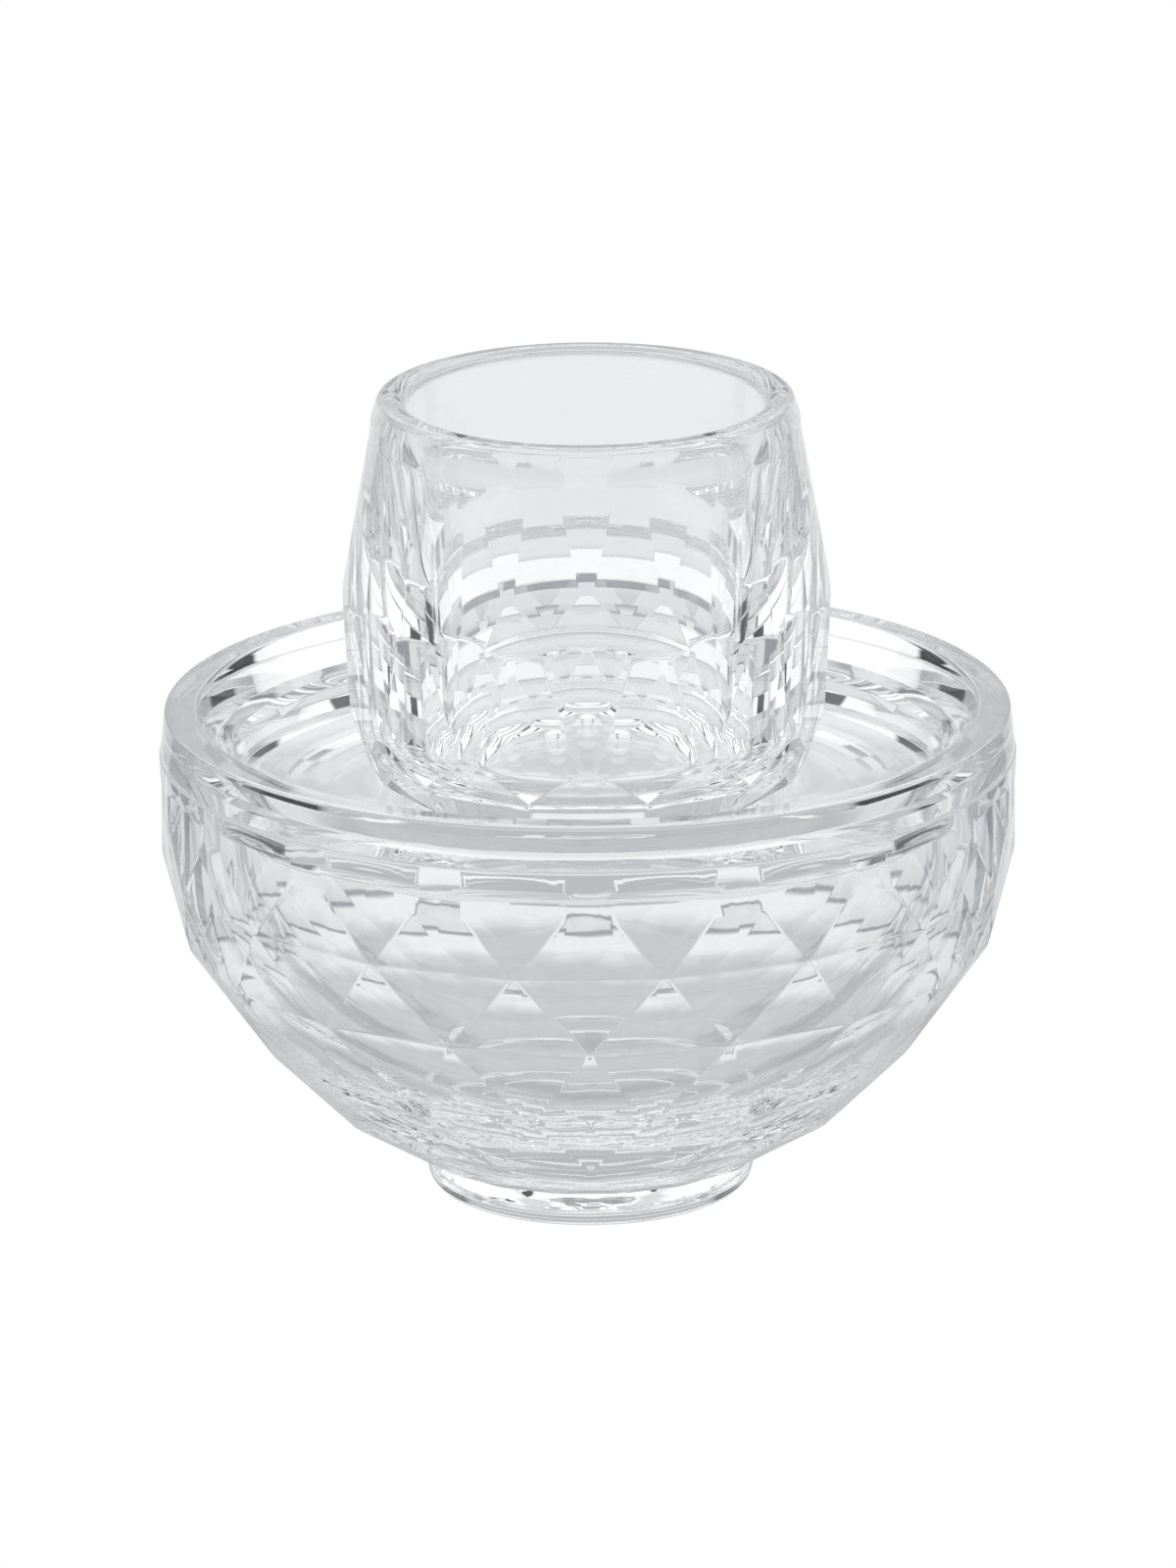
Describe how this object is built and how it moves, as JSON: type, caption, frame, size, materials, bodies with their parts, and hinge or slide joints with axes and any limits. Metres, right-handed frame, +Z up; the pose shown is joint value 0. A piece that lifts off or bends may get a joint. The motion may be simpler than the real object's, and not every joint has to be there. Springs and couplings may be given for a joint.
{
  "type": "dappen dish",
  "caption": "Clear cut-glass dappen set: a footed bowl with triangular cuts, a dished lid on its rim, and an open cut-glass cup standing on the lid.",
  "frame": {"origin": "middle of the face that the foot stands on", "axes": "+Z up along the axis of the bowl, lid and cup; -Y is the side seen from the front"},
  "size_m": [0.0698, 0.0698, 0.0669],
  "materials": {
    "bowl_glass": "clear, polished cuts",
    "lid_glass": "clear, fire-polished",
    "cup_glass": "clear, polished cuts"
  },
  "bodies": {
    "bowl": {"bowl": "bowl_glass"},
    "lid": {"lid": "lid_glass"},
    "cup": {"cup": "cup_glass"}
  },
  "joints": [
    {"name": "lid_lift", "type": "slide", "parent": "bowl", "child": "lid", "axis": [0, 0, 1], "range_m": [0, 0.05]},
    {"name": "cup_lift", "type": "slide", "parent": "lid", "child": "cup", "axis": [0, 0, 1], "range_m": [0, 0.04]}
  ]
}
